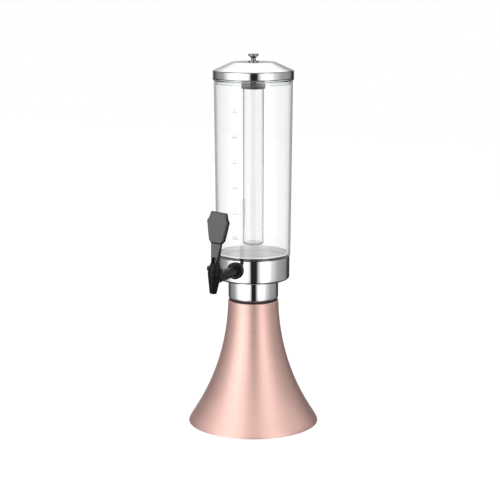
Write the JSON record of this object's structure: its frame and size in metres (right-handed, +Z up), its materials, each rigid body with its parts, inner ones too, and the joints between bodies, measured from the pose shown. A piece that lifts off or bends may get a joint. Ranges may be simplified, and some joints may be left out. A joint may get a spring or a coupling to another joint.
{
  "type": "beer tower dispenser",
  "caption": "Free-standing drink tower: a clear lidded tube with a hanging ice tube on a chrome cup with a lever tap, over a flared swivel base.",
  "frame": {"origin": "centre of the underside of the foot pad, on the surface that the tower stands on", "axes": "+Z up along the tower's axis, -Y towards the tap, +X to the right seen from the tap"},
  "size_m": [0.2244, 0.2594, 0.6356],
  "materials": {
    "copper_base": "spun stainless sheet with a copper-coloured satin coating",
    "plate_steel": "black powder-coated steel plate",
    "foot_foam": "black closed-cell foam",
    "ballast_iron": "cast iron, as cast",
    "zinc_steel": "zinc-plated steel",
    "black_abs": "moulded black ABS",
    "black_pom": "moulded black acetal",
    "chrome_plate": "polished chrome plate",
    "black_nickel": "polished black nickel plate",
    "silicone": "translucent silicone rubber",
    "clear_tube": "clear moulded polycarbonate",
    "clear_liner": "clear moulded plastic",
    "black_tap": "moulded black ABS, semi-gloss",
    "black_lever": "moulded dark grey ABS, satin",
    "black_rubber": "black nitrile rubber"
  },
  "bodies": {
    "base": {"base_shell": "copper_base", "base_plate": "plate_steel", "foot_pad": "foot_foam", "ballast": "ballast_iron", "ballast_washer": "zinc_steel", "ballast_nut": "zinc_steel", "tie_bolt": "zinc_steel", "tie_washer": "zinc_steel", "tie_nut": "zinc_steel", "socket": "black_abs"},
    "neck_bush": {"neck_bush": "black_pom"},
    "tower": {"neck": "chrome_plate", "neck_screws": "zinc_steel", "cup": "chrome_plate", "tube_seal": "black_rubber", "tube": "clear_tube", "tap_body": "black_tap", "tap_gasket": "black_rubber", "tap_inner_seal": "black_rubber", "tap_washer": "zinc_steel", "tap_lock_nut": "black_tap", "bonnet": "black_tap", "stem_seal": "black_rubber", "valve_spring": "zinc_steel"},
    "valve": {"valve_stem": "black_pom", "seat_cup": "silicone", "lever_pin": "zinc_steel"},
    "lever": {"lever": "black_lever"},
    "lid": {"lid": "chrome_plate", "lid_liner": "clear_liner", "lid_washer": "black_pom", "knob": "chrome_plate", "ice_cap_screw": "zinc_steel", "ice_spacer": "chrome_plate", "ice_cap": "black_nickel"},
    "ice_seal": {"ice_seal": "silicone"},
    "ice_tube": {"ice_tube": "clear_tube"}
  },
  "joints": [
    {"name": "tower_swivel", "type": "hinge", "parent": "base", "child": "neck_bush", "pos_m": [0, 0, 0.2174], "axis": [0, 0, 1], "continuous": true},
    {"name": "tower_lift", "type": "slide", "parent": "neck_bush", "child": "tower", "axis": [0, 0, 1], "range_m": [0, 0.06]},
    {"name": "lid_lift", "type": "slide", "parent": "tower", "child": "lid", "axis": [0, 0, 1], "range_m": [0, 0.31]},
    {"name": "valve_lift", "type": "slide", "parent": "tower", "child": "valve", "axis": [0.0837, 0, 0.9965], "range_m": [0, 0.0034], "deforming": ["valve_spring"]},
    {"name": "lever_tilt", "type": "hinge", "parent": "valve", "child": "lever", "pos_m": [0.00264, -0.136, 0.30919], "axis": [0.9965, 0, -0.0837], "range_deg": [0, 38], "stiffness_Nm_per_rad": 0.02, "springref_deg": -34.38},
    {"name": "ice_seal_drop", "type": "slide", "parent": "lid", "child": "ice_seal", "axis": [0, 0, -1], "range_m": [0, 0.00605]},
    {"name": "ice_tube_unscrew", "type": "hinge", "parent": "ice_seal", "child": "ice_tube", "pos_m": [0, 0, 0.5979], "axis": [0, 0, -1], "range_deg": [0, 540]}
  ],
  "couplings": [
    {"joint": "valve_lift", "follows": "lever_tilt", "m_per_rad": 0.005},
    {"joint": "ice_seal_drop", "follows": "ice_tube_unscrew", "m_per_rad": 0.00063662}
  ]
}
